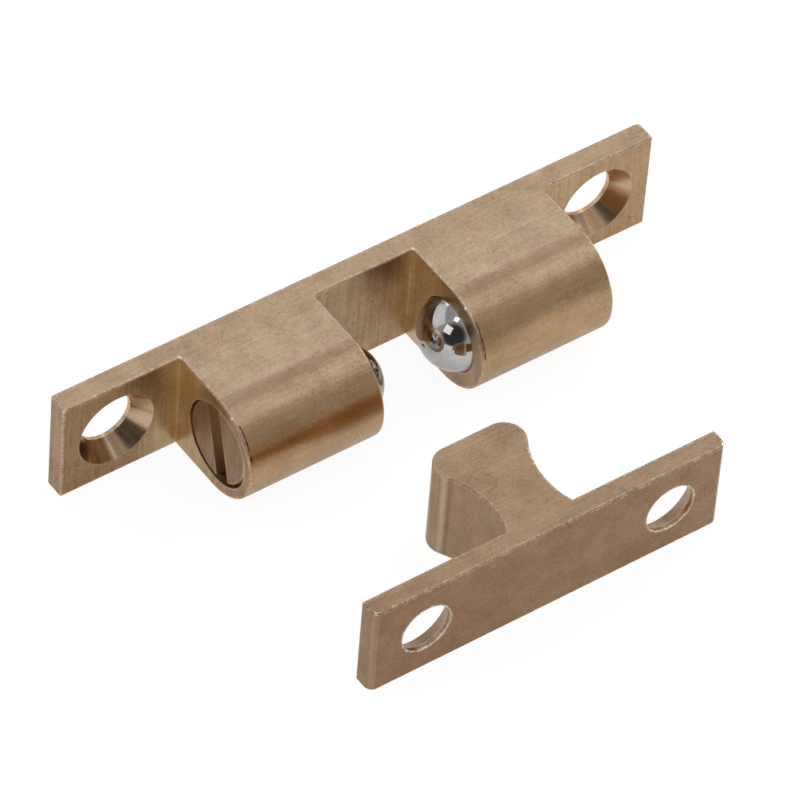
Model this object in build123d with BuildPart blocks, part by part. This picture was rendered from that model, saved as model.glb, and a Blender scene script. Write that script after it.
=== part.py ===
from build123d import *
import os
from math import asin, cos, radians, sin, sqrt

# Double ball catch in solid brass, with the strike that it grips.
# Frame: origin at the middle of the catch's mounting face, +X along its plate,
# -Y out of the mounting face towards the strike, +Z up through the flank that
# both pieces lie on. Millimetres.

# Catch body: a housing each side of the gap, and a flat step beyond each housing
body_width = 10.4
plate_thickness = 2.1
body_depth = 12.8
housing_gap = 10.0
housing_length = 13.5
end_step = 11.5

# Catch fixing holes, countersunk from the front, set in from the plate's ends
catch_hole = 5.0
catch_countersink = 7.4
catch_hole_inset = 5.4
countersink_angle = 70.0

# Ball, its ball-nosed bore and the lip that holds it
ball_diameter = 7.14
bore_clearance = 0.08
lip_hold = 0.07
lip_land = 0.1
ball_lip_gap = 0.03

# Adjusting screw, M8 x 0.75 drawn without its thread, its tapped hole, and the wall
# between that hole and the tip of the nose
screw_diameter = 7.9
thread_clearance = 0.05
screw_length = 3.2
screw_recess = 0.1
screw_chamfer = 0.2
slot_width = 1.6
slot_depth = 1.4
left_slot_tilt = 14.0
right_slot_tilt = -35.0
thread_depth = 6.4
nose_wall = 0.9

# Compression spring with closed and ground ends
spring_wire = 0.5
spring_diameter = 6.4
active_coils = 3
closed_pitch = 0.55
spring_gap = 0.05

# Strike: a flat plate with a head whose hollow sides the balls grip
strike_length = 35.4
strike_width = 9.4
strike_thickness = 1.9
strike_depth = 12.2
waist_width = 5.6
waist_height = 4.8
scallop_radius = 8.3
nose_radius = 1.9
strike_hole = 4.8
strike_countersink = 6.8
strike_hole_inset = 5.4

# Where the strike lies: ahead of the housings and a little to one side
strike_clear = 8.3
strike_offset = -2.85

# Worn edges
catch_end_radius = 0.4
strike_end_radius = 0.8
edge_break = 0.15

# Worked out from the sizes above
floor_z = -body_width / 2
nose_y = -body_depth
round_y = -(body_depth - body_width / 2)
inner_face = housing_gap / 2
outer_face = inner_face + housing_length
plate_length = 2 * (outer_face + end_step)
catch_hole_spacing = plate_length - 2 * catch_hole_inset
strike_hole_spacing = strike_length - 2 * strike_hole_inset
ball_radius = ball_diameter / 2
bore_radius = ball_radius + bore_clearance
lip_radius = ball_radius - lip_hold
tapped_radius = screw_diameter / 2 + thread_clearance
bore_y = -(body_depth - nose_wall - tapped_radius)
ball_x = inner_face + lip_land + sqrt((ball_radius + ball_lip_gap) ** 2 - lip_radius**2)
seat_x = inner_face + lip_land + sqrt(bore_radius**2 - lip_radius**2)
screw_outer = outer_face - screw_recess
screw_inner = screw_outer - screw_length
spring_outer = screw_inner - spring_gap
spring_inner_radius = spring_diameter / 2 - spring_wire
spring_inner = ball_x + sqrt(ball_radius**2 - spring_inner_radius**2) + spring_gap
spring_length = spring_outer - spring_inner
strike_back_y = nose_y - strike_clear - strike_depth

# The line that both bores, balls, springs and screws share
bore_axis = Axis((0, bore_y, 0), (1, 0, 0))

# Bore profile: where the ball-nosed drill breaks through to the lip, and a point between
lip_x = inner_face + lip_land
thread_x = outer_face - thread_depth
seat_angle = asin(lip_radius / bore_radius)
seat_mid_angle = (seat_angle + radians(90)) / 2
seat_mid_x = seat_x - bore_radius * cos(seat_mid_angle)
seat_mid_y = bore_y + bore_radius * sin(seat_mid_angle)

# Catch body: an extruded bar with a full round nose, its ends and middle milled to the plate
with BuildPart() as catch_body:
    with BuildSketch(Plane.YZ.offset(-plate_length / 2)) as bar_section:
        with BuildLine():
            Polyline((round_y, floor_z), (0, floor_z), (0, -floor_z), (round_y, -floor_z))
            ThreePointArc((round_y, -floor_z), (nose_y, 0), (round_y, floor_z))
        make_face()
    extrude(amount=plate_length)
    with BuildSketch(Plane.XY) as milled_away:
        with Locations((0, -plate_thickness)):
            Rectangle(housing_gap, body_depth, align=(Align.CENTER, Align.MAX))
        with Locations((-outer_face, -plate_thickness)):
            Rectangle(plate_length, body_depth, align=(Align.MAX, Align.MAX))
        with Locations((outer_face, -plate_thickness)):
            Rectangle(plate_length, body_depth, align=(Align.MIN, Align.MAX))
    extrude(amount=body_width, both=True, mode=Mode.SUBTRACT)
    upright = catch_body.edges().filter_by(Axis.Z).group_by(Axis.X)
    fillet((upright[0] + upright[-1]).group_by(Axis.Y)[-1], catch_end_radius)
    fillet([edge for edge in catch_body.edges() if not edge.is_interior], edge_break)
    front = Plane(origin=(0, -plate_thickness, 0), x_dir=(1, 0, 0), z_dir=(0, -1, 0))
    with Locations(front):
        with GridLocations(catch_hole_spacing, 0, 2, 1):
            CounterSinkHole(catch_hole / 2, catch_countersink / 2, None, countersink_angle)
    for side in (-1, 1):
        with BuildSketch(Plane.XY) as half_bore:
            with BuildLine():
                Polyline(
                    (side * seat_x, bore_y + bore_radius),
                    (side * thread_x, bore_y + bore_radius),
                    (side * thread_x, bore_y + tapped_radius),
                    (side * outer_face, bore_y + tapped_radius),
                    (side * outer_face, bore_y),
                    (side * inner_face, bore_y),
                    (side * inner_face, bore_y + lip_radius),
                    (side * lip_x, bore_y + lip_radius),
                )
                ThreePointArc(
                    (side * lip_x, bore_y + lip_radius),
                    (side * seat_mid_x, seat_mid_y),
                    (side * seat_x, bore_y + bore_radius),
                )
            make_face()
        revolve(axis=bore_axis, mode=Mode.SUBTRACT)

catch_body.part.label = "catch_body"


def build_ball(side):
    """Polished steel ball, resting just inside the lip."""
    with BuildPart() as ball:
        with BuildSketch(Plane.XY):
            with BuildLine():
                Line((side * ball_x - ball_radius, bore_y), (side * ball_x + ball_radius, bore_y))
                ThreePointArc(
                    (side * ball_x + ball_radius, bore_y),
                    (side * ball_x, bore_y + ball_radius),
                    (side * ball_x - ball_radius, bore_y),
                )
            make_face()
        revolve(axis=bore_axis)
    return ball.part


def build_spring(side):
    """Compression spring between ball and screw: one closed coil at each end, ground flat."""
    coil_radius = (spring_diameter - spring_wire) / 2
    open_length = spring_length - 2 * closed_pitch
    inward = Plane(origin=(side * spring_inner, bore_y, 0), z_dir=(side, 0, 0))
    stretches = [
        (0, closed_pitch, closed_pitch),
        (closed_pitch, open_length / active_coils, open_length),
        (closed_pitch + open_length, closed_pitch, closed_pitch),
    ]
    with BuildPart() as spring:
        with BuildLine() as coil:
            for start, pitch, height in stretches:
                foot = (side * (spring_inner + start), bore_y, 0)
                Helix(pitch, height, coil_radius, center=foot, direction=(side, 0, 0))
        wire_path = coil.wires()[0]
        with BuildSketch(Plane(origin=wire_path @ 0, z_dir=wire_path % 0)):
            Circle(spring_wire / 2)
        sweep(path=wire_path)
        with BuildSketch(inward):
            Circle(spring_diameter)
        extrude(amount=spring_length, mode=Mode.INTERSECT)
    return spring.part


def build_screw(side, slot_tilt):
    """Slotted grub screw, just below the housing's outer face."""
    outward = Plane(origin=(side * screw_inner, bore_y, 0), x_dir=(0, 1, 0), z_dir=(side, 0, 0))
    face = Plane(origin=(side * screw_outer, bore_y, 0), x_dir=(0, 1, 0), z_dir=(side, 0, 0))
    with BuildPart() as screw:
        with BuildSketch(outward):
            Circle(screw_diameter / 2)
        extrude(amount=screw_length)
        chamfer(screw.edges().filter_by(GeomType.CIRCLE), screw_chamfer)
        with BuildSketch(face):
            Rectangle(slot_width, screw_diameter, rotation=slot_tilt)
        extrude(amount=-slot_depth, mode=Mode.SUBTRACT)
    return screw.part


left_ball = build_ball(-1)
left_ball.label = "left_ball"
right_ball = build_ball(1)
right_ball.label = "right_ball"
left_spring = build_spring(-1)
left_spring.label = "left_spring"
right_spring = build_spring(1)
right_spring.label = "right_spring"
left_adjusting_screw = build_screw(-1, left_slot_tilt)
left_adjusting_screw.label = "left_adjusting_screw"
right_adjusting_screw = build_screw(1, right_slot_tilt)
right_adjusting_screw.label = "right_adjusting_screw"

# Strike: the head's rounded nose runs tangent into its hollow sides
scallop_x = waist_width / 2 + scallop_radius
scallop_y = strike_back_y + waist_height
nose_centre_y = strike_back_y + strike_depth - nose_radius
nose_reach = sqrt((scallop_radius + nose_radius) ** 2 - (nose_centre_y - scallop_y) ** 2)
nose_centre_x = scallop_x - nose_reach
tip_y = strike_back_y + strike_depth
head_half_width = nose_centre_x + nose_radius
plate_front_y = strike_back_y + strike_thickness
foot_x = scallop_x - sqrt(scallop_radius**2 - (plate_front_y - scallop_y) ** 2)
tangent_x = nose_centre_x + nose_radius * nose_reach / (scallop_radius + nose_radius)
tangent_y = nose_centre_y - nose_radius * (nose_centre_y - scallop_y) / (scallop_radius + nose_radius)
corner_x = nose_centre_x + nose_radius * cos(radians(45))
corner_y = nose_centre_y + nose_radius * sin(radians(45))
waist_x = waist_width / 2

with BuildPart() as strike:
    with BuildSketch(Plane.XY.offset(floor_z)):
        with Locations((strike_offset, strike_back_y + strike_thickness / 2)):
            Rectangle(strike_length, strike_thickness)
        with BuildLine():
            for side in (-1, 1):
                ThreePointArc(
                    (strike_offset + side * foot_x, plate_front_y),
                    (strike_offset + side * waist_x, scallop_y),
                    (strike_offset + side * tangent_x, tangent_y),
                )
                ThreePointArc(
                    (strike_offset + side * tangent_x, tangent_y),
                    (strike_offset + side * corner_x, corner_y),
                    (strike_offset + side * nose_centre_x, tip_y),
                )
            Line(
                (strike_offset - nose_centre_x, tip_y),
                (strike_offset + nose_centre_x, tip_y),
            )
            Line(
                (strike_offset - foot_x, plate_front_y),
                (strike_offset + foot_x, plate_front_y),
            )
        make_face()
    extrude(amount=strike_width)
    upright = strike.edges().filter_by(Axis.Z).group_by(Axis.X)
    plate_ends = (upright[0] + upright[-1]).group_by(Axis.Y)
    fillet(plate_ends[0], strike_end_radius)
    fillet(plate_ends[-1], edge_break)
    flank_edges = strike.edges().group_by(Axis.Z)[0] + strike.edges().group_by(Axis.Z)[-1]
    fillet([edge for edge in flank_edges if not edge.is_interior], edge_break)
    strike_mid_z = floor_z + strike_width / 2
    head_side = Plane(origin=(strike_offset, plate_front_y, strike_mid_z), x_dir=(1, 0, 0), z_dir=(0, 1, 0))
    with Locations(head_side):
        with GridLocations(strike_hole_spacing, 0, 2, 1):
            CounterSinkHole(strike_hole / 2, strike_countersink / 2, None, countersink_angle)

strike.part.label = "strike"

os.makedirs("parts", exist_ok=True)
export_step(catch_body.part, "parts/catch_body.step")
export_step(left_ball, "parts/left_ball.step")
export_step(right_ball, "parts/right_ball.step")
export_step(left_spring, "parts/left_spring.step")
export_step(right_spring, "parts/right_spring.step")
export_step(left_adjusting_screw, "parts/left_adjusting_screw.step")
export_step(right_adjusting_screw, "parts/right_adjusting_screw.step")
export_step(strike.part, "parts/strike.step")
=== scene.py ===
import math

import bpy
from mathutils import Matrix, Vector


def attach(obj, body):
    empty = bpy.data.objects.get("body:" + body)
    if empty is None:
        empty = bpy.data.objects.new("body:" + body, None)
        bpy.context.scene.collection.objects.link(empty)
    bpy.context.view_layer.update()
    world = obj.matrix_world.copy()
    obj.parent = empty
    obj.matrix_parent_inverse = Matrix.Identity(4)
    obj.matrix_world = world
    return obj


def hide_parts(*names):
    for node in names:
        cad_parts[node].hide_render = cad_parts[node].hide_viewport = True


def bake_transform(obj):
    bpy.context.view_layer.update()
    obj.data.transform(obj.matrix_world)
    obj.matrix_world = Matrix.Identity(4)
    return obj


# A solid brass double ball catch and its strike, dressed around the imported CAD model.
# Lengths are in metres; those named _MM are in millimetres.

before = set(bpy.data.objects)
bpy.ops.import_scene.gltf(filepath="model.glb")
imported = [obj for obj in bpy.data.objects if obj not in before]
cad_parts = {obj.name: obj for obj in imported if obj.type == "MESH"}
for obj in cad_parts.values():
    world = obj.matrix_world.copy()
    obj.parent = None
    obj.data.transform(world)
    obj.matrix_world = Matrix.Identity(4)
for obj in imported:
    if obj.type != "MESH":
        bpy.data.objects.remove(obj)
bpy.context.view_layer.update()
MM = 0.001

# Places and sizes taken from the CAD part
FLOOR_Z = -5.2 * MM
BORE_Y = -7.9 * MM
SCREW_OUTER = 18.4 * MM
SCREW_INNER = 15.2 * MM
SCREW_RADIUS = 3.95 * MM
SCREW_CHAMFER = 0.2 * MM
SLOT_WIDTH = 1.6 * MM
SLOT_DEPTH = 1.4 * MM
SLOT_TILTS = {"left": 14.0, "right": -35.0}
SPRING_OUTER = 15.15 * MM
SPRING_INNER = 8.3282 * MM
WIRE_RADIUS = 0.25 * MM
COIL_RADIUS = 2.95 * MM
CLOSED_PITCH = 0.55 * MM
ACTIVE_COILS = 3

# How far in the joints take the balls and the screws
BALL_TRAVEL = 2.6 * MM
SCREW_TRAVEL = 1.5 * MM

# The screws' M8 fine thread: a wound diamond without its inner corner, longer than the screw
THREAD_PITCH = 0.75 * MM
THREAD_HEIGHT = 0.38 * MM
THREAD_CORNERS = 4
SPARE_TURNS = 2

# How finely the round shapes are divided
THREAD_STEPS = 48
BLANK_SIDES = 96
COIL_STEPS = 56
WIRE_SIDES = 14

# How far the thread reaches past the screw's ends until it is cut, and a hair's breadth
SPARE = 0.4 * MM
HAIR = 0.01 * MM

# How near points have to lie to be joined, between turns, at a cut, and after it
TURN_GAP = 0.001 * MM
CUT_GAP = 0.0001 * MM
POINT_GAP = 0.0005 * MM

# Edges sharper than these angles, in degrees, are shaded sharp
SCREW_SHARP_ANGLE = 25
SPRING_SHARP_ANGLE = 40

# Places on the pieces that their finishes follow, in millimetres
CATCH_HOLE_X_MM = 24.6
COUNTERSINK_RADIUS_MM = 3.7
BORE_RIM_MM = 4.4
HOUSING_MIDDLE_X_MM = 11.75
HOUSING_END_X_MM = 18.4
END_LINE_X_MM = 6.45
END_LINE_TOP_Y_MM = -10.4
LEDGE_Y_MM = -2.1
LEDGE_REACH_MM = 1.0
PLATE_TIP_X_MM = 29.0
# Where the nose's painted shade band and its painted warm reflection lie
SHADE_Y_MM = -8.3
REFLECTION_Z_MM = 2.1
SCREW_FACE_X_MM = 18.35
HEAD_CREASE_Y_MM = -24.3
# Corners with a painted glint, on the catch and on the strike
CATCH_GLINT_SPOTS_MM = (
    (-18.5, -2.1, 5.2), (5.0, -2.1, 5.2), (-30.0, -2.1, 5.2), (-18.5, -9.7, 4.76), (5.0, -9.7, 4.76),
)
STRIKE_GLINT_SPOTS_MM = ((-20.3, -33.1, 4.2), (14.6, -33.1, 4.2))

# Where a finish fades into the next one, from its start to its end
PLATE_END_FADE_X_MM = (19.5, 23.5)
STRIP_FADE_Y_MM = (-4.5, -1.5)
SIDE_FADE_Y_MM = (-9.5, -5.0)
FLANK_FADE_Y_MM = (-8.9, -7.8)
UPPER_NOSE_FADE_Z_MM = (3.9, 4.6)
BURNISH_FADE_Y_MM = (-11.3, -12.3)
END_LINE_FADE_Z_MM = (0.4, 1.4)
STRIKE_END_FADE_X_MM = (-20.0, -6.0)

# How the lines that a die and a cutter leave are turned, in degrees
DIE_LINES = (0, 0, 90)
CUTTER_LINES = (0, 0, 25)

# Metal colours, each with its light tone and its dark one
DRAWN_BRASS_TONES = ((0.65, 0.43, 0.246), (0.415, 0.269, 0.146))
MILLED_BRASS_TONES = ((0.68, 0.45, 0.26), (0.37, 0.235, 0.12))
LEFT_CONE_TONES = ((0.76, 0.56, 0.38), (0.4, 0.24, 0.125))
RIGHT_CONE_TONES = ((0.8, 0.59, 0.39), (0.56, 0.345, 0.185))
STRIKE_BRASS_TONES = ((0.46, 0.305, 0.185), (0.30, 0.19, 0.108))
SCREW_BRASS_TONES = ((0.43, 0.26, 0.14), (0.25, 0.145, 0.07))
BALL_STEEL_TONES = ((0.62, 0.61, 0.60), (0.50, 0.49, 0.48))
WIRE_STEEL_TONES = ((0.42, 0.41, 0.40), (0.22, 0.21, 0.20))

# Bare metal, where a piece was rubbed, sawn or burred, which on edges also serves as a painted
# highlight, and how much of it edges show
CATCH_RUB_AND_HIGHLIGHT = (0.98, 0.88, 0.73)
STRIKE_RUB_AND_HIGHLIGHT = (0.92, 0.82, 0.67)
SCREW_RUB_AND_HIGHLIGHT = (0.8, 0.64, 0.45)
# Sawn brass, lightened with painted light bounced inside the slot
SAWN_AND_BOUNCE_LIT_BRASS = (0.66, 0.51, 0.33)
# A painted highlight on the strike's nose
STRIKE_NOSE_HIGHLIGHT = (0.66, 0.51, 0.36)
# The colour of a painted glint
GLINT = (1.0, 0.93, 0.8)
BODY_EDGE_RUB_AND_HIGHLIGHT = 0.95
SCREW_EDGE_RUB_AND_HIGHLIGHT = 0.3

# Dark marks
END_LINE_BROWN = (0.09, 0.05, 0.025)
# Painted shade along the strike's crease
CREASE_SHADE = (0.13, 0.08, 0.05)

# Tints, which multiply a metal's colour
UNTINTED = (1.0, 1.0, 1.0)
HOUSING_FLANK_TINT = (0.93, 1.04, 1.25)
PLATE_FLANK_TINT = (0.85, 0.93, 1.09)
# A painted paler, bluer reflection high on the nose
UPPER_NOSE_REFLECTION_TINT = (0.98, 1.04, 1.18)
# A painted shade band where flank meets nose, and a painted warm reflection low on the left nose
NOSE_SHADE_TINT = (0.86, 0.84, 0.84)
NOSE_REFLECTION_TINT = (1.3, 1.08, 0.78)
# Painted light and shade on the ledge between the housings and on the plate's end faces
GAP_LEDGE_TINT = (0.92, 0.95, 1.0)
PLATE_TIP_TINT = (0.72, 0.68, 0.67)
STRIKE_FLANK_TINT = (1.08, 1.14, 1.22)
STRIKE_FACE_TINT = (0.97, 0.9, 0.87)
STRIKE_TIP_TINT = (1.12, 1.12, 1.12)
STRIKE_LEFT_TINT = (0.94, 0.9, 0.88)

# Painted light and shade on the housings' ends, as tints near the ledge and by the nose, outside and in
# the gap
OUTER_END_TINTS = ((1.12, 1.16, 1.04), (0.74, 0.69, 0.67))
GAP_END_TINTS = ((1.44, 1.66, 1.8), (0.85, 0.83, 0.85))

# Painted light and shade on the ledges, on the left and on the right
LEDGE_BY_HOUSING_TINTS = ((1.07, 1.19, 1.23), (1.04, 1.07, 1.08))
LEDGE_BY_TIP_TINTS = ((0.67, 0.61, 0.56), (0.93, 0.9, 0.91))

# The camera that took the photograph, what the lamps point at, and the room's dark side
CAMERA_PLACE = (-0.280559, -0.359962, 0.479453)
CAMERA_ANGLES = (42.78614, -3.29714, -35.03254)
CAMERA_LENS = 354.24
LAMP_TARGET = (0, -0.016, 0)
DARK_SIDE = (-0.69, -0.58, 0.52)
DARK_SIDE_FADE = (0.76, 0.92)
ROOM_GLOW = 0.42
DARK_SIDE_GLOW = 0.04


# Small helpers for material nodes

def add_node(tree, kind, values=None, **settings):
    """A node with its settings made and its inputs set or linked."""
    node = tree.nodes.new(kind)
    for name, value in settings.items():
        setattr(node, name, value)
    for name, value in (values or {}).items():
        if isinstance(value, bpy.types.NodeSocket):
            tree.links.new(value, node.inputs[name])
        else:
            node.inputs[name].default_value = value
    return node


def math_of(tree, operation, *values):
    """The result of a Math node."""
    node = add_node(tree, "ShaderNodeMath", dict(enumerate(values)), operation=operation)
    return node.outputs[0]


def product(tree, first, *others):
    """Shares multiplied together."""
    for other in others:
        first = math_of(tree, "MULTIPLY", first, other)
    return first


def the_rest(tree, share):
    """What a share leaves of 1."""
    return math_of(tree, "SUBTRACT", 1.0, share)


def off_from(tree, value, place):
    """How far a value is from a place, either way."""
    return math_of(tree, "ABSOLUTE", math_of(tree, "SUBTRACT", value, place))


def smooth_step(tree, value, start, end):
    """0 at start rising smoothly to 1 at end."""
    values = {"Value": value, "From Min": start, "From Max": end}
    node = add_node(tree, "ShaderNodeMapRange", values, interpolation_type="SMOOTHSTEP")
    return node.outputs["Result"]


def fade_out(tree, value, start, end):
    """1 at start falling smoothly to 0 at end."""
    return the_rest(tree, smooth_step(tree, value, start, end))


def between(tree, value, low, high):
    """A number that goes from low to high as value goes from 0 to 1."""
    node = add_node(tree, "ShaderNodeMapRange", {"Value": value, "To Min": low, "To Max": high})
    return node.outputs["Result"]


def mix_colours(tree, share, first, second):
    """Two colours mixed by a share."""
    node = add_node(tree, "ShaderNodeMix", data_type="RGBA")
    for index, value in ((0, share), (6, first), (7, second)):
        if isinstance(value, bpy.types.NodeSocket):
            tree.links.new(value, node.inputs[index])
        elif index == 0:
            node.inputs[index].default_value = value
        else:
            node.inputs[index].default_value = (*value, 1)
    return node.outputs[2]


def noise_of(tree, position, scale, detail=3.0, roughness=0.55):
    """Noise over a position."""
    values = {"Vector": position, "Scale": scale, "Detail": detail, "Roughness": roughness}
    return add_node(tree, "ShaderNodeTexNoise", values).outputs["Fac"]


def turned(tree, position, angles, scale):
    """A position turned by angles in degrees and stretched."""
    rotation = [math.radians(angle) for angle in angles]
    values = {"Vector": position, "Rotation": rotation, "Scale": scale}
    return add_node(tree, "ShaderNodeMapping", values).outputs["Vector"]


def distance_of(tree, first, second):
    """The distance between two positions."""
    node = add_node(tree, "ShaderNodeVectorMath", {0: first, 1: second}, operation="DISTANCE")
    return node.outputs["Value"]


def parts_of(tree, vector):
    """A vector's X, Y and Z."""
    return add_node(tree, "ShaderNodeSeparateXYZ", {"Vector": vector}).outputs


def new_group(name, inputs, outputs):
    """A shader node group with named inputs and outputs."""
    group = bpy.data.node_groups.new(name, "ShaderNodeTree")
    for socket_name, socket_type, value in inputs:
        socket = group.interface.new_socket(socket_name, in_out="INPUT", socket_type=socket_type)
        if value is not None:
            socket.default_value = value
    for socket_name, socket_type in outputs:
        group.interface.new_socket(socket_name, in_out="OUTPUT", socket_type=socket_type)
    group_in = group.nodes.new("NodeGroupInput")
    group_out = group.nodes.new("NodeGroupOutput")
    return group, group_in.outputs, group_out.inputs


def use_group(tree, group, **values):
    """A group placed in a material, its inputs named with underscores for spaces."""
    node = tree.nodes.new("ShaderNodeGroup")
    node.node_tree = group
    for name, value in values.items():
        name = name.replace("_", " ")
        if isinstance(value, bpy.types.NodeSocket):
            tree.links.new(value, node.inputs[name])
        else:
            node.inputs[name].default_value = value
    return node.outputs


# Shared effects

FLOAT = "NodeSocketFloat"
VECTOR = "NodeSocketVector"


def make_grain_group():
    """The speckle of tumbled brass: fine pits, and cloudy patches a few millimetres wide."""
    group, given, result = new_group(
        "tumbled_grain",
        [("Position", VECTOR, None), ("Pit Size", FLOAT, 0.2), ("Cloud Size", FLOAT, 3.0)],
        [("Pits", FLOAT), ("Clouds", FLOAT), ("Specks", FLOAT), ("Height", FLOAT)],
    )
    pit_scale = math_of(group, "DIVIDE", 1.0, given["Pit Size"])
    cloud_scale = math_of(group, "DIVIDE", 1.0, given["Cloud Size"])
    fine = noise_of(group, given["Position"], pit_scale, 3.0, 0.7)
    cloud = noise_of(group, given["Position"], cloud_scale, 4.0, 0.6)
    speck = noise_of(group, given["Position"], math_of(group, "MULTIPLY", pit_scale, 0.7), 2.0, 0.5)
    patch = smooth_step(group, noise_of(group, given["Position"], 0.16, 2.0, 0.5), 0.4, 0.62)
    specks = product(group, smooth_step(group, speck, 0.56, 0.7), patch)
    group.links.new(smooth_step(group, fine, 0.3, 0.7), result["Pits"])
    group.links.new(specks, result["Specks"])
    group.links.new(smooth_step(group, cloud, 0.32, 0.68), result["Clouds"])
    group.links.new(fine, result["Height"])
    return group


def make_scratch_group():
    """Thin scratches in two directions, broken up along their length."""
    group, given, result = new_group(
        "hairline_scratches",
        [("Position", VECTOR, None), ("Spacing", FLOAT, 0.5), ("Share", FLOAT, 0.5)],
        [("Lines", FLOAT)],
    )
    scale = math_of(group, "DIVIDE", 1.0, given["Spacing"])
    lines = None
    for angles in ((17, 8, 38), (-12, 25, -52), (40, -20, 5)):
        along = turned(group, given["Position"], angles, (0.12, 1.0, 1.0))
        wander = noise_of(group, along, scale, 1.5, 0.4)
        thin = fade_out(group, off_from(group, wander, 0.5), 0.002, 0.012)
        patch = noise_of(group, turned(group, given["Position"], angles, (1, 1, 1)), 0.5, 2.0, 0.5)
        kept = smooth_step(group, patch, the_rest(group, given["Share"]), 0.75)
        line = product(group, thin, kept)
        lines = line if lines is None else math_of(group, "MAXIMUM", lines, line)
    group.links.new(lines, result["Lines"])
    return group


def make_edge_group():
    """The bright, ragged line along edges, partly worn and burred metal and partly a painted highlight,
    wider here and thinner there.
    """
    group, given, result = new_group(
        "worn_edge_highlight",
        [("Position", VECTOR, None), ("Width", FLOAT, 0.0001), ("Raggedness", FLOAT, 0.6)],
        [("Edge", FLOAT)],
    )
    notches = smooth_step(group, noise_of(group, given["Position"], 3.2, 4.0, 0.7), 0.35, 0.68)
    width = math_of(group, "MULTIPLY", given["Width"], between(group, notches, 0.4, 1.5))
    rounded = add_node(group, "ShaderNodeBevel", {"Radius": width}, samples=8)
    surface = add_node(group, "ShaderNodeNewGeometry")
    facing = add_node(group, "ShaderNodeVectorMath", operation="DOT_PRODUCT")
    group.links.new(rounded.outputs["Normal"], facing.inputs[0])
    group.links.new(surface.outputs["Normal"], facing.inputs[1])
    rim = smooth_step(group, the_rest(group, facing.outputs["Value"]), 0.004, 0.06)
    open_air = add_node(
        group, "ShaderNodeAmbientOcclusion", {"Distance": 0.0004}, samples=4, only_local=True
    )
    rim = product(group, rim, smooth_step(group, open_air.outputs["AO"], 0.35, 0.95))
    broken = smooth_step(group, noise_of(group, given["Position"], 1.7, 4.0, 0.75), 0.36, 0.58)
    kept = the_rest(group, given["Raggedness"])
    strength = math_of(group, "ADD", kept, product(group, given["Raggedness"], broken))
    group.links.new(product(group, rim, strength), result["Edge"])
    return group


def make_painted_glint_group():
    """A painted glint: a small bright spot where a burr stands up on a corner."""
    group, given, result = new_group(
        "painted_glint",
        [("Position", VECTOR, None), ("Place", VECTOR, None), ("Radius", FLOAT, 0.3)],
        [("Glint", FLOAT)],
    )
    away = distance_of(group, given["Position"], given["Place"])
    ragged = between(group, noise_of(group, given["Position"], 5.0, 2.0, 0.6), 0.5, 1.5)
    share = math_of(group, "DIVIDE", away, product(group, given["Radius"], ragged))
    group.links.new(fade_out(group, share, 0.45, 1.0), result["Glint"])
    return group


def make_line_group():
    """Fine parallel lines left by a cutter or a drawing die, across the position's first axis."""
    group, given, result = new_group(
        "tool_lines",
        [("Position", VECTOR, None), ("Spacing", FLOAT, 0.1)],
        [("Lines", FLOAT)],
    )
    scale = math_of(group, "DIVIDE", 1.0, given["Spacing"])
    stretched = turned(group, given["Position"], (0, 0, 0), (1.0, 0.03, 0.03))
    lines = noise_of(group, stretched, scale, 3.0, 0.6)
    group.links.new(smooth_step(group, lines, 0.3, 0.7), result["Lines"])
    return group


def make_face_group():
    """Which way a piece's flat faces look: 1 on those along X, Y or Z."""
    group, _, result = new_group(
        "face_directions", [], [("Along X", FLOAT), ("Along Y", FLOAT), ("Along Z", FLOAT)]
    )
    parts = parts_of(group, add_node(group, "ShaderNodeTexCoord").outputs["Normal"])
    for axis in ("X", "Y", "Z"):
        flat = smooth_step(group, math_of(group, "ABSOLUTE", parts[axis]), 0.9, 0.98)
        group.links.new(flat, result[f"Along {axis}"])
    return group


def make_countersink_group():
    """Where the cutter's cones are, and the streaks that run down them."""
    group, given, result = new_group(
        "countersink_streaks",
        [("Position", VECTOR, None), ("Hole X", FLOAT, 10.0), ("Radius", FLOAT, 3.0)],
        [("Cone", FLOAT), ("Streaks", FLOAT), ("Rings", FLOAT), ("Rim", FLOAT)],
    )
    across = parts_of(group, given["Position"])
    from_hole = math_of(group, "SUBTRACT", math_of(group, "ABSOLUTE", across["X"]), given["Hole X"])
    flat = add_node(group, "ShaderNodeCombineXYZ", {"X": from_hole, "Z": across["Z"]}).outputs[0]
    distance = add_node(group, "ShaderNodeVectorMath", {0: flat}, operation="LENGTH").outputs["Value"]
    past_rim = math_of(group, "SUBTRACT", distance, given["Radius"])
    inside = fade_out(group, past_rim, -0.04, 0.06)
    near_rim = fade_out(group, past_rim, 0.2, 0.6)
    around = add_node(group, "ShaderNodeVectorMath", {0: flat}, operation="NORMALIZE").outputs[0]
    along = turned(group, flat, (0, 0, 0), (0.03, 0.03, 0.03))
    fan = add_node(group, "ShaderNodeVectorMath", {0: around, 1: along}, operation="ADD").outputs[0]
    streaks = noise_of(group, fan, 2.6, 4.0, 0.55)
    ring_place = add_node(group, "ShaderNodeCombineXYZ", {"X": distance}).outputs[0]
    group.links.new(inside, result["Cone"])
    group.links.new(near_rim, result["Rim"])
    group.links.new(smooth_step(group, streaks, 0.37, 0.63), result["Streaks"])
    group.links.new(noise_of(group, ring_place, 9.0, 2.0, 0.6), result["Rings"])
    return group


grain_group = make_grain_group()
scratch_group = make_scratch_group()
edge_group = make_edge_group()
glint_group = make_painted_glint_group()
line_group = make_line_group()
face_group = make_face_group()
countersink_group = make_countersink_group()


# Finishes

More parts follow.
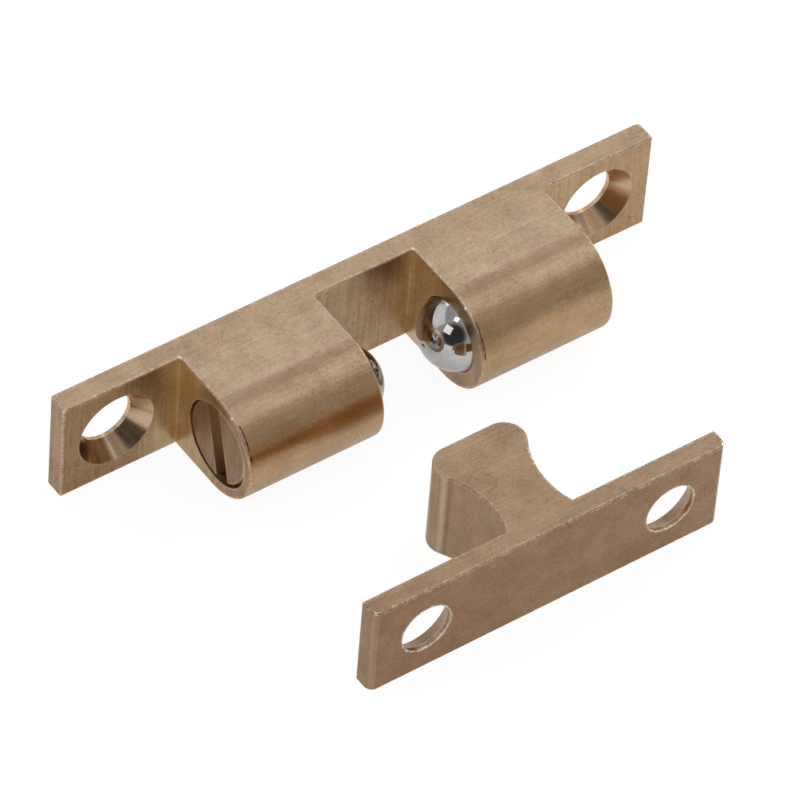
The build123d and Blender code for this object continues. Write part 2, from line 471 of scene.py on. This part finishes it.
def new_material(name):
    """An empty material, its tree, shader, and the position on the piece in millimetres."""
    material = bpy.data.materials.new(name)
    material.use_nodes = True
    tree = material.node_tree
    tree.nodes.clear()
    output = add_node(tree, "ShaderNodeOutputMaterial")
    shader = add_node(tree, "ShaderNodeBsdfPrincipled")
    tree.links.new(shader.outputs["BSDF"], output.inputs["Surface"])
    place = add_node(tree, "ShaderNodeTexCoord").outputs["Object"]
    position = turned(tree, place, (0, 0, 0), (1 / MM, 1 / MM, 1 / MM))
    return material, tree, shader, position


def bump_of(tree, height, strength, depth):
    """A Bump node's normal, for a height from 0 to 1 and a depth in metres."""
    values = {"Height": height, "Strength": strength, "Distance": depth}
    return add_node(tree, "ShaderNodeBump", values).outputs["Normal"]


def mix_numbers(tree, share, first, second):
    """Two numbers mixed by a share."""
    node = add_node(tree, "ShaderNodeMix", {0: share, 2: first, 3: second}, data_type="FLOAT")
    return node.outputs[0]


def multiply_colours(tree, first, second):
    """One colour tinted by another."""
    node = add_node(tree, "ShaderNodeMix", data_type="RGBA", blend_type="MULTIPLY")
    node.inputs[0].default_value = 1.0
    tree.links.new(first, node.inputs[6])
    tree.links.new(second, node.inputs[7])
    return node.outputs[2]


def brass_base(tree, position, light, dark, line_angles, spacing, line_share):
    """Speckled brass: its colour, tone and height, with fine lines from its tool or die."""
    grain = use_group(tree, grain_group, Position=position, Pit_Size=0.22, Cloud_Size=2.6)
    along = turned(tree, position, line_angles, (1, 1, 1))
    lines = use_group(tree, line_group, Position=along, Spacing=spacing)["Lines"]
    tone = product(tree, grain["Pits"], 0.55 - line_share / 2)
    tone = math_of(tree, "ADD", tone, product(tree, grain["Clouds"], 0.45 - line_share / 2))
    tone = math_of(tree, "ADD", tone, product(tree, lines, line_share))
    tone = math_of(tree, "SUBTRACT", tone, product(tree, grain["Specks"], 0.4))
    height = math_of(tree, "ADD", grain["Height"], product(tree, lines, 0.35))
    return mix_colours(tree, tone, dark, light), tone, height


def finish_brass(tree, shader, position, colour, rough, height, rub_and_highlight, edge_light_share, glint_spots=()):
    """Rubbed scratches, edges that are worn metal and painted highlight, and painted glints on corners
    over a brass, linked to its shader.
    """
    scratches = use_group(tree, scratch_group, Position=position, Spacing=1.1, Share=0.55)["Lines"]
    # Edges lightened with the rub colour: worn metal and a painted highlight
    edge = use_group(tree, edge_group, Position=position, Width=0.00034, Raggedness=0.5)["Edge"]
    colour = mix_colours(tree, product(tree, scratches, 0.12), colour, rub_and_highlight)
    colour = mix_colours(tree, product(tree, edge, edge_light_share), colour, rub_and_highlight)
    # Painted glints on corners
    for place in glint_spots:
        glint = use_group(tree, glint_group, Position=position, Place=place, Radius=0.22)["Glint"]
        colour = mix_colours(tree, glint, colour, GLINT)
    rough = mix_numbers(tree, edge, rough, 0.42)
    height = math_of(tree, "SUBTRACT", height, product(tree, scratches, 0.3))
    tree.links.new(colour, shader.inputs["Base Color"])
    tree.links.new(rough, shader.inputs["Roughness"])
    tree.links.new(bump_of(tree, height, 0.6, 0.00002), shader.inputs["Normal"])
    shader.inputs["Metallic"].default_value = 1.0


def catch_drawn_tint(tree, faces, across):
    """The tint of the catch's drawn surfaces: its flanks, along housings and plate, and a painted paler
    reflection high on its noses.
    """
    on_strip = smooth_step(tree, across["Y"], *STRIP_FADE_Y_MM)
    flank_tint = mix_colours(tree, on_strip, HOUSING_FLANK_TINT, PLATE_FLANK_TINT)
    before_nose = smooth_step(tree, across["Y"], *FLANK_FADE_Y_MM)
    upper_nose = smooth_step(tree, across["Z"], *UPPER_NOSE_FADE_Z_MM)
    upper_nose = product(tree, upper_nose, the_rest(tree, before_nose))
    nose_tint = mix_colours(tree, upper_nose, UNTINTED, UPPER_NOSE_REFLECTION_TINT)
    return mix_colours(tree, product(tree, faces["Along Z"], before_nose), nose_tint, flank_tint)


def catch_milled_light_and_shade(tree, faces, across):
    """Painted light and shade on the catch's milled faces: the housings' ends, the ledges, and the
    plate's tips.
    """
    off_middle = math_of(tree, "ABSOLUTE", across["X"])
    on_right = math_of(tree, "GREATER_THAN", across["X"], 0.0)

    at_gap = math_of(tree, "LESS_THAN", off_middle, HOUSING_MIDDLE_X_MM)
    near_ledge = smooth_step(tree, across["Y"], *SIDE_FADE_Y_MM)
    outer_upper, outer_lower = OUTER_END_TINTS
    gap_upper, gap_lower = GAP_END_TINTS
    upper_tint = mix_colours(tree, at_gap, outer_upper, gap_upper)
    lower_tint = mix_colours(tree, at_gap, outer_lower, gap_lower)
    side_tint = mix_colours(tree, near_ledge, lower_tint, upper_tint)

    past_housing = math_of(tree, "GREATER_THAN", off_middle, HOUSING_END_X_MM)
    at_end = smooth_step(tree, off_middle, *PLATE_END_FADE_X_MM)
    near_tint = mix_colours(tree, on_right, *LEDGE_BY_HOUSING_TINTS)
    end_tint = mix_colours(tree, on_right, *LEDGE_BY_TIP_TINTS)
    ledge_tint = mix_colours(tree, past_housing, GAP_LEDGE_TINT, near_tint)
    ledge_tint = mix_colours(tree, at_end, ledge_tint, end_tint)

    at_tip = product(tree, math_of(tree, "GREATER_THAN", off_middle, PLATE_TIP_X_MM), faces["Along X"])
    tint = mix_colours(tree, faces["Along X"], ledge_tint, side_tint)
    return mix_colours(tree, at_tip, tint, PLATE_TIP_TINT)


def nose_shade_and_reflection(tree, faces, across, burnished):
    """Painted shade where flank and nose meet, and a painted warm reflection low on the left nose."""
    off_ends = the_rest(tree, faces["Along X"])
    on_left = math_of(tree, "LESS_THAN", across["X"], 0.0)
    shade = fade_out(tree, off_from(tree, across["Y"], SHADE_Y_MM), 0.2, 0.9)
    warm_reflection = fade_out(tree, off_from(tree, across["Z"], REFLECTION_Z_MM), 0.5, 1.1)
    warm_reflection = product(tree, warm_reflection, burnished, on_left, off_ends)
    shade_tint = mix_colours(tree, product(tree, shade, off_ends), UNTINTED, NOSE_SHADE_TINT)
    reflection_tint = mix_colours(tree, warm_reflection, UNTINTED, NOSE_REFLECTION_TINT)
    return multiply_colours(tree, shade_tint, reflection_tint)


def end_line(tree, faces, position, across):
    """The dark, broken line round the nose just inside each housing's left end."""
    housing_x = product(tree, math_of(tree, "SIGN", across["X"]), HOUSING_MIDDLE_X_MM)
    line_x = math_of(tree, "SUBTRACT", housing_x, END_LINE_X_MM)
    line = fade_out(tree, off_from(tree, across["X"], line_x), 0.05, 0.14)
    on_nose = math_of(tree, "LESS_THAN", across["Y"], END_LINE_TOP_Y_MM)
    above_middle = smooth_step(tree, across["Z"], *END_LINE_FADE_Z_MM)
    kept = smooth_step(tree, noise_of(tree, position, 0.6, 2.0, 0.6), 0.42, 0.55)
    return product(tree, line, on_nose, above_middle, kept, the_rest(tree, faces["Along X"]))


def make_catch_brass():
    """Drawn and milled brass: dull flanks, a nose with painted shade and a painted warm reflection,
    cutter-bright faces inside with painted light and shade.
    """
    material, tree, shader, position = new_material("milled_catch_brass")
    faces = use_group(tree, face_group)
    across = parts_of(tree, position)
    on_ledge = math_of(tree, "COMPARE", across["Y"], LEDGE_Y_MM, LEDGE_REACH_MM)
    on_ledge = product(tree, faces["Along Y"], on_ledge)
    milled = math_of(tree, "MAXIMUM", faces["Along X"], on_ledge)

    drawn, drawn_tone, drawn_height = brass_base(
        tree, position, *DRAWN_BRASS_TONES, DIE_LINES, spacing=0.16, line_share=0.24
    )
    cut, cut_tone, cut_height = brass_base(
        tree, position, *MILLED_BRASS_TONES, CUTTER_LINES, spacing=0.3, line_share=0.4
    )
    drawn = multiply_colours(tree, drawn, catch_drawn_tint(tree, faces, across))
    # Painted light and shade on the milled faces
    cut = multiply_colours(tree, cut, catch_milled_light_and_shade(tree, faces, across))
    colour = mix_colours(tree, milled, drawn, cut)
    tone = mix_numbers(tree, milled, drawn_tone, cut_tone)
    height = mix_numbers(tree, milled, drawn_height, cut_height)
    smoother = product(tree, milled, 0.07)
    rough = math_of(tree, "SUBTRACT", between(tree, tone, 0.41, 0.33), smoother)

    burnished = smooth_step(tree, across["Y"], *BURNISH_FADE_Y_MM)
    rough = mix_numbers(tree, burnished, rough, between(tree, tone, 0.35, 0.27))
    # Painted shade and a painted warm reflection on the nose
    colour = multiply_colours(tree, colour, nose_shade_and_reflection(tree, faces, across, burnished))
    line = end_line(tree, faces, position, across)
    colour = mix_colours(tree, product(tree, line, 0.85), colour, END_LINE_BROWN)

    sink = use_group(
        tree, countersink_group, Position=position, Hole_X=CATCH_HOLE_X_MM, Radius=COUNTERSINK_RADIUS_MM
    )
    on_right = math_of(tree, "GREATER_THAN", across["X"], 0.0)
    left_light, left_dark = LEFT_CONE_TONES
    right_light, right_dark = RIGHT_CONE_TONES
    cone_dark = mix_colours(tree, on_right, left_dark, right_dark)
    cone_light = mix_colours(tree, on_right, left_light, right_light)
    cone = mix_colours(tree, sink["Streaks"], cone_dark, cone_light)
    inside = product(tree, sink["Cone"], the_rest(tree, faces["Along Y"]))
    colour = mix_colours(tree, inside, colour, cone)
    rough = mix_numbers(tree, inside, rough, 0.27)
    height = mix_numbers(tree, inside, height, product(tree, sink["Rings"], 0.8))

    beside_axis = turned(tree, position, (0, 0, 0), (0, 1, 1))
    from_axis = distance_of(tree, beside_axis, (0, BORE_Y / MM, 0))
    at_bore = math_of(tree, "LESS_THAN", from_axis, BORE_RIM_MM)
    at_rim = math_of(tree, "MAXIMUM", product(tree, at_bore, 0.6), product(tree, sink["Rim"], 0.85))
    edge_light_share = between(tree, at_rim, BODY_EDGE_RUB_AND_HIGHLIGHT, 0.0)
    finish_brass(tree, shader, position, colour, rough, height, CATCH_RUB_AND_HIGHLIGHT, edge_light_share, CATCH_GLINT_SPOTS_MM)
    return material


def make_strike_brass():
    """Darker brass: brushed flat faces, and hollow sides with lines across the strip, brighter on the
    nose with a painted highlight and with painted shade along the crease.
    """
    material, tree, shader, position = new_material("brushed_strike_brass")
    faces = use_group(tree, face_group)
    across = parts_of(tree, position)
    flat = math_of(tree, "MAXIMUM", faces["Along Z"], faces["Along Y"])
    flat = math_of(tree, "MAXIMUM", flat, faces["Along X"])

    brushed, brushed_tone, brushed_height = brass_base(
        tree, position, *STRIKE_BRASS_TONES, DIE_LINES, spacing=0.2, line_share=0.2
    )
    tint = mix_colours(tree, faces["Along Z"], UNTINTED, STRIKE_FLANK_TINT)
    tint = mix_colours(tree, faces["Along Y"], tint, STRIKE_FACE_TINT)
    tint = mix_colours(tree, faces["Along X"], tint, STRIKE_TIP_TINT)
    from_end = smooth_step(tree, across["X"], *STRIKE_END_FADE_X_MM)
    end_tint = mix_colours(tree, from_end, STRIKE_LEFT_TINT, UNTINTED)
    brushed = multiply_colours(tree, brushed, multiply_colours(tree, tint, end_tint))

    hollow, hollow_tone, hollow_height = brass_base(
        tree, position, *STRIKE_BRASS_TONES, CUTTER_LINES, spacing=0.35, line_share=0.45
    )
    # A painted highlight on the nose past the crease, and painted shade along the crease
    past_crease = math_of(tree, "SUBTRACT", across["Y"], HEAD_CREASE_Y_MM)
    on_nose = smooth_step(tree, past_crease, -0.1, 0.3)
    hollow = mix_colours(tree, between(tree, on_nose, 0.12, 0.6), hollow, STRIKE_NOSE_HIGHLIGHT)
    wander = between(tree, noise_of(tree, position, 0.7, 3.0, 0.6), -0.15, 0.25)
    from_crease = math_of(tree, "ADD", math_of(tree, "ABSOLUTE", past_crease), wander)
    crease_shade = product(tree, fade_out(tree, from_crease, 0.02, 0.42), 0.4)
    hollow = mix_colours(tree, crease_shade, hollow, CREASE_SHADE)

    colour = mix_colours(tree, flat, hollow, brushed)
    tone = mix_numbers(tree, flat, hollow_tone, brushed_tone)
    height = mix_numbers(tree, flat, hollow_height, brushed_height)
    rough = math_of(tree, "ADD", between(tree, tone, 0.40, 0.31), product(tree, flat, 0.07))
    finish_brass(
        tree, shader, position, colour, rough, height, STRIKE_RUB_AND_HIGHLIGHT, BODY_EDGE_RUB_AND_HIGHLIGHT, STRIKE_GLINT_SPOTS_MM
    )
    return material


def make_screw_brass():
    """Turned brass, dull on its face and brighter where the slot was sawn: sawn metal and painted light
    bounced inside the slot.
    """
    material, tree, shader, position = new_material("turned_screw_brass")
    off_middle = math_of(tree, "ABSOLUTE", parts_of(tree, position)["X"])
    inside = math_of(tree, "LESS_THAN", off_middle, SCREW_FACE_X_MM)
    colour, tone, height = brass_base(
        tree, position, *SCREW_BRASS_TONES, CUTTER_LINES, spacing=0.3, line_share=0.3
    )
    # Sawn metal and painted bounced light inside the slot
    colour = mix_colours(tree, inside, colour, SAWN_AND_BOUNCE_LIT_BRASS)
    rough = between(tree, tone, 0.45, 0.36)
    finish_brass(tree, shader, position, colour, rough, height, SCREW_RUB_AND_HIGHLIGHT, SCREW_EDGE_RUB_AND_HIGHLIGHT)
    return material


def make_ball_steel():
    """Polished ball steel with a faint haze and a few hairlines."""
    material, tree, shader, position = new_material("polished_ball_steel")
    grain = use_group(tree, grain_group, Position=position, Pit_Size=0.3, Cloud_Size=2.0)
    scratches = use_group(tree, scratch_group, Position=position, Spacing=1.4, Share=0.5)["Lines"]
    light, dark = BALL_STEEL_TONES
    colour = mix_colours(tree, grain["Clouds"], dark, light)
    rough = between(tree, grain["Clouds"], 0.07, 0.03)
    rough = math_of(tree, "ADD", rough, product(tree, scratches, 0.1))
    tree.links.new(colour, shader.inputs["Base Color"])
    tree.links.new(rough, shader.inputs["Roughness"])
    shader.inputs["Metallic"].default_value = 1.0
    return material


def make_spring_steel():
    """Drawn spring wire, slightly darkened by oil."""
    material, tree, shader, position = new_material("drawn_spring_wire")
    grain = use_group(tree, grain_group, Position=position, Pit_Size=0.12, Cloud_Size=0.9)
    light, dark = WIRE_STEEL_TONES
    colour = mix_colours(tree, grain["Clouds"], dark, light)
    tree.links.new(colour, shader.inputs["Base Color"])
    tree.links.new(between(tree, grain["Pits"], 0.42, 0.28), shader.inputs["Roughness"])
    tree.links.new(bump_of(tree, grain["Height"], 0.4, 0.00001), shader.inputs["Normal"])
    shader.inputs["Metallic"].default_value = 1.0
    return material


catch_brass = make_catch_brass()
strike_brass = make_strike_brass()
screw_brass = make_screw_brass()
ball_steel = make_ball_steel()
spring_steel = make_spring_steel()


def give_finish(piece, material):
    """Puts a finish on a piece, in place of the one it had."""
    piece.data.materials.clear()
    piece.data.materials.append(material)


give_finish(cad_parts["catch_body"], catch_brass)
give_finish(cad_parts["strike"], strike_brass)
for side in ("left", "right"):
    give_finish(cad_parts[f"{side}_ball"], ball_steel)


# Pieces modelled here

def select_only(piece):
    """Makes one piece the only selected one, and the active one."""
    bpy.ops.object.select_all(action="DESELECT")
    piece.select_set(True)
    bpy.context.view_layer.objects.active = piece


def shape(piece, kind="VERT", wanted=None):
    """Opens a piece for shaping, with the points or edges that are wanted selected, or all of it."""
    select_only(piece)
    bpy.ops.object.mode_set(mode="EDIT")
    bpy.ops.mesh.select_mode(type=kind)
    bpy.ops.mesh.select_all(action="DESELECT" if wanted else "SELECT")
    if wanted:
        bpy.ops.object.mode_set(mode="OBJECT")
        mesh = piece.data
        for element in {"VERT": mesh.vertices, "EDGE": mesh.edges}[kind]:
            element.select = wanted(element, mesh.vertices)
        bpy.ops.object.mode_set(mode="EDIT")


def done(piece):
    """Closes a piece after shaping."""
    bpy.ops.object.mode_set(mode="OBJECT")
    return piece


def settle(piece):
    """Puts a finished piece's object at the origin, with its place in its mesh."""
    select_only(piece)
    bpy.ops.object.transform_apply(location=True, rotation=True, scale=True)
    return piece


def winding_line(name, start_x, points, radius, height, away):
    """A ring of points beside the bore's axis, ready to be wound around it."""
    bpy.ops.mesh.primitive_circle_add(vertices=points, radius=radius, location=(start_x, BORE_Y, 0))
    line = bpy.context.object
    line.name = name
    shape(line)
    bpy.ops.transform.resize(value=(1, height / radius, 1), center_override=(start_x, BORE_Y, 0))
    bpy.ops.transform.translate(value=(0, away, 0))
    return done(line)


def wind(line, pitch, turns, steps):
    """Winds a line around the bore's axis with a Screw modifier."""
    select_only(line)
    winding = line.modifiers.new("winding", "SCREW")
    winding.axis = "X"
    winding.screw_offset = pitch
    winding.iterations = turns
    winding.steps = steps
    winding.render_steps = steps
    winding.use_smooth_shade = False
    bpy.ops.object.modifier_apply(modifier="winding")


def trim(piece, low_x, high_x):
    """Joins a wound piece's turns, closes its ends and cuts it off square at both."""
    shape(piece)
    bpy.ops.mesh.remove_doubles(threshold=TURN_GAP)
    bpy.ops.mesh.fill_holes(sides=0)
    bpy.ops.mesh.select_all(action="SELECT")
    bpy.ops.mesh.normals_make_consistent(inside=False)
    for place, direction in ((low_x, -1), (high_x, 1)):
        bpy.ops.mesh.select_all(action="SELECT")
        bpy.ops.mesh.bisect(
            plane_co=(place, BORE_Y, 0), plane_no=(direction, 0, 0),
            use_fill=True, clear_outer=True, threshold=CUT_GAP,
        )
    bpy.ops.mesh.select_all(action="SELECT")
    bpy.ops.mesh.remove_doubles(threshold=POINT_GAP)
    bpy.ops.mesh.normals_make_consistent(inside=False)
    done(piece)


def combine(piece, tool, operation):
    """Cuts a piece with another, which is used up."""
    select_only(piece)
    cut = piece.modifiers.new("cut", "BOOLEAN")
    cut.object = tool
    cut.operation = operation
    cut.solver = "EXACT"
    bpy.ops.object.modifier_apply(modifier="cut")
    bpy.data.objects.remove(tool)


def on_one_half(edge, points):
    """Whether an edge's two ends lie on the same side of the bore's axis."""
    first, second = edge.vertices
    return points[first].co.z * points[second].co.z > 0


def make_adjusting_screw(side, sign):
    """A threaded grub screw with chamfered ends and a sawn driver slot."""
    ends = sorted((sign * SCREW_INNER, sign * SCREW_OUTER))
    root = SCREW_RADIUS - THREAD_HEIGHT
    first = ends[0] - SPARE_TURNS * THREAD_PITCH
    thread = winding_line(
        f"{side}_threaded_screw", first, THREAD_CORNERS, THREAD_PITCH / 2, THREAD_HEIGHT, root
    )
    shape(thread, "VERT", lambda point, points: point.co.y < root - HAIR)
    bpy.ops.mesh.delete(type="VERT")
    done(thread)
    turns = math.ceil((ends[1] - ends[0]) / THREAD_PITCH) + 2 * SPARE_TURNS
    wind(thread, THREAD_PITCH, turns, THREAD_STEPS)
    trim(thread, ends[0] - SPARE, ends[1] + SPARE)

    # The blank's chamfered ends and outer side trim the thread
    middle_x = (ends[0] + ends[1]) / 2
    bpy.ops.mesh.primitive_cylinder_add(
        vertices=BLANK_SIDES, radius=SCREW_RADIUS - HAIR, depth=ends[1] - ends[0],
        location=(middle_x, BORE_Y, 0), rotation=(0, math.radians(90), 0),
    )
    blank = bpy.context.object
    blank.name = "turned_blank"
    shape(blank, "EDGE", on_one_half)
    bpy.ops.mesh.bevel(offset=SCREW_CHAMFER, segments=1)
    done(blank)
    combine(thread, blank, "INTERSECT")

    # The saw's middle is on the screw's face, so half of its depth cuts
    bpy.ops.mesh.primitive_cube_add(
        size=1, location=(sign * SCREW_OUTER, BORE_Y, 0),
        rotation=(sign * math.radians(SLOT_TILTS[side]), 0, 0),
    )
    saw = bpy.context.object
    saw.name = "slot_saw"
    shape(saw)
    bpy.ops.transform.resize(
        value=(2 * SLOT_DEPTH, SLOT_WIDTH, 3 * SCREW_RADIUS),
        center_override=(sign * SCREW_OUTER, BORE_Y, 0), orient_type="LOCAL",
    )
    done(saw)
    combine(thread, saw, "DIFFERENCE")

    settle(thread)
    select_only(thread)
    bpy.ops.object.shade_smooth_by_angle(angle=math.radians(SCREW_SHARP_ANGLE))
    give_finish(thread, screw_brass)
    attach(thread, f"{side}_adjusting_screw")
    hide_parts(f"{side}_adjusting_screw")


def wind_spring(name, sign):
    """The turns of a compression spring, closed at each end, before its ends are ground."""
    open_length = SPRING_OUTER - SPRING_INNER - 2 * CLOSED_PITCH
    stretches = (
        (0.0, CLOSED_PITCH, 1),
        (CLOSED_PITCH, open_length / ACTIVE_COILS, ACTIVE_COILS),
        (CLOSED_PITCH + open_length, CLOSED_PITCH, 1),
    )
    coils = []
    for number, (start, pitch, turns) in enumerate(stretches):
        start_x = sign * (SPRING_INNER + start)
        coil = winding_line(
            f"{name}_coil_{number}", start_x, WIRE_SIDES, WIRE_RADIUS, WIRE_RADIUS, COIL_RADIUS
        )
        wind(coil, sign * pitch, turns, COIL_STEPS)
        coils.append(settle(coil))
    select_only(coils[0])
    for coil in coils[1:]:
        coil.select_set(True)
    bpy.ops.object.join()
    coils[0].name = name
    return coils[0]


def make_spring(side, sign):
    """A wound spring in two halves that meet inside the bore, at a point set by how far the ball and
    the screw travel.
    """
    length = SPRING_OUTER - SPRING_INNER
    meeting = SPRING_INNER + length * BALL_TRAVEL / (BALL_TRAVEL + SCREW_TRAVEL)
    halves = (("ball", SPRING_INNER, f"{side}_ball"), ("screw", SPRING_OUTER, f"{side}_spring"))
    for half, far_end, body in halves:
        spring = wind_spring(f"{side}_spring_{half}_half", sign)
        ends = sorted((sign * meeting, sign * far_end))
        trim(spring, ends[0], ends[1])
        select_only(spring)
        bpy.ops.object.shade_smooth_by_angle(angle=math.radians(SPRING_SHARP_ANGLE))
        give_finish(spring, spring_steel)
        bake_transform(spring)
        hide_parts(f"{side}_spring")


for side, sign in (("left", -1), ("right", 1)):
    make_adjusting_screw(side, sign)
    make_spring(side, sign)


# Studio

def make_floor():
    """A pale table top that keeps the shadow and looks white to the camera."""
    bpy.ops.object.select_all(action="DESELECT")
    bpy.ops.mesh.primitive_plane_add(size=3.0, location=(0, 0, FLOOR_Z))
    floor = bpy.context.object
    floor.name = "studio_floor"
    material = bpy.data.materials.new("pale_table_top")
    material.use_nodes = True
    tree = material.node_tree
    tree.nodes.clear()
    output = add_node(tree, "ShaderNodeOutputMaterial")
    paper = add_node(tree, "ShaderNodeBsdfDiffuse", {"Color": (0.86, 0.86, 0.86, 1)})
    white = add_node(tree, "ShaderNodeEmission", {"Color": (1, 1, 1, 1), "Strength": 1.1})
    rays = add_node(tree, "ShaderNodeLightPath").outputs
    mirrored = product(tree, rays["Is Glossy Ray"], 0.45)
    seen = product(tree, rays["Is Camera Ray"], 0.85)
    share = math_of(tree, "MAXIMUM", seen, mirrored)
    both = add_node(tree, "ShaderNodeMixShader", {"Fac": share})
    tree.links.new(paper.outputs[0], both.inputs[1])
    tree.links.new(white.outputs[0], both.inputs[2])
    tree.links.new(both.outputs[0], output.inputs["Surface"])
    floor.data.materials.append(material)


def add_softbox(name, place, width, height, power, colour=(1, 1, 1)):
    """A rectangular lamp that points at the part."""
    bpy.ops.object.light_add(type="AREA", location=place)
    lamp = bpy.context.object
    lamp.name = name
    way = Vector(LAMP_TARGET) - Vector(place)
    lamp.rotation_euler = way.to_track_quat("-Z", "Y").to_euler()
    lamp.data.shape = "RECTANGLE"
    lamp.data.size = width
    lamp.data.size_y = height
    lamp.data.energy = power
    lamp.data.color = colour


make_floor()
add_softbox("softbox_behind", (0.39, 0.57, 0.66), 0.95, 0.44, 1.1)
add_softbox("softbox_above", (0.42, -0.26, 0.88), 0.60, 0.20, 0.33)
add_softbox("softbox_over", (0.42, -0.10, 0.95), 0.60, 0.50, 0.26)
add_softbox("softbox_top", (-0.26, -0.15, 1.06), 0.22, 0.22, 0.5)
add_softbox("softbox_right", (0.95, 0.0, 0.45), 0.50, 0.40, 2.0)
add_softbox("softbox_left", (-0.60, 0.70, 0.60), 1.20, 0.90, 1.3)
add_softbox("softbox_front", (-0.81, -0.23, 0.70), 0.42, 0.42, 0.7, (1.0, 0.95, 0.87))

# The room around the table, dark on the camera's side
world = bpy.data.worlds.new("studio_air")
world.use_nodes = True
air = world.node_tree
direction = add_node(air, "ShaderNodeTexCoord").outputs["Generated"]
dark_way = Vector(DARK_SIDE).normalized()
towards = add_node(air, "ShaderNodeVectorMath", {0: direction, 1: dark_way}, operation="DOT_PRODUCT")
dark = smooth_step(air, towards.outputs["Value"], *DARK_SIDE_FADE)
backdrop = air.nodes["Background"]
backdrop.inputs["Color"].default_value = (1, 1, 1, 1)
air.links.new(between(air, dark, ROOM_GLOW, DARK_SIDE_GLOW), backdrop.inputs["Strength"])
bpy.context.scene.world = world

# Camera at the photograph's viewing angle
camera_turn = [math.radians(angle) for angle in CAMERA_ANGLES]
bpy.ops.object.camera_add(location=CAMERA_PLACE, rotation=camera_turn)
camera = bpy.context.object
camera.name = "photo_camera"
camera.data.lens = CAMERA_LENS
camera.data.sensor_width = 36
camera.data.clip_start = 0.01
camera.data.clip_end = 20
bpy.context.scene.camera = camera
bpy.context.scene.view_settings.view_transform = "Standard"
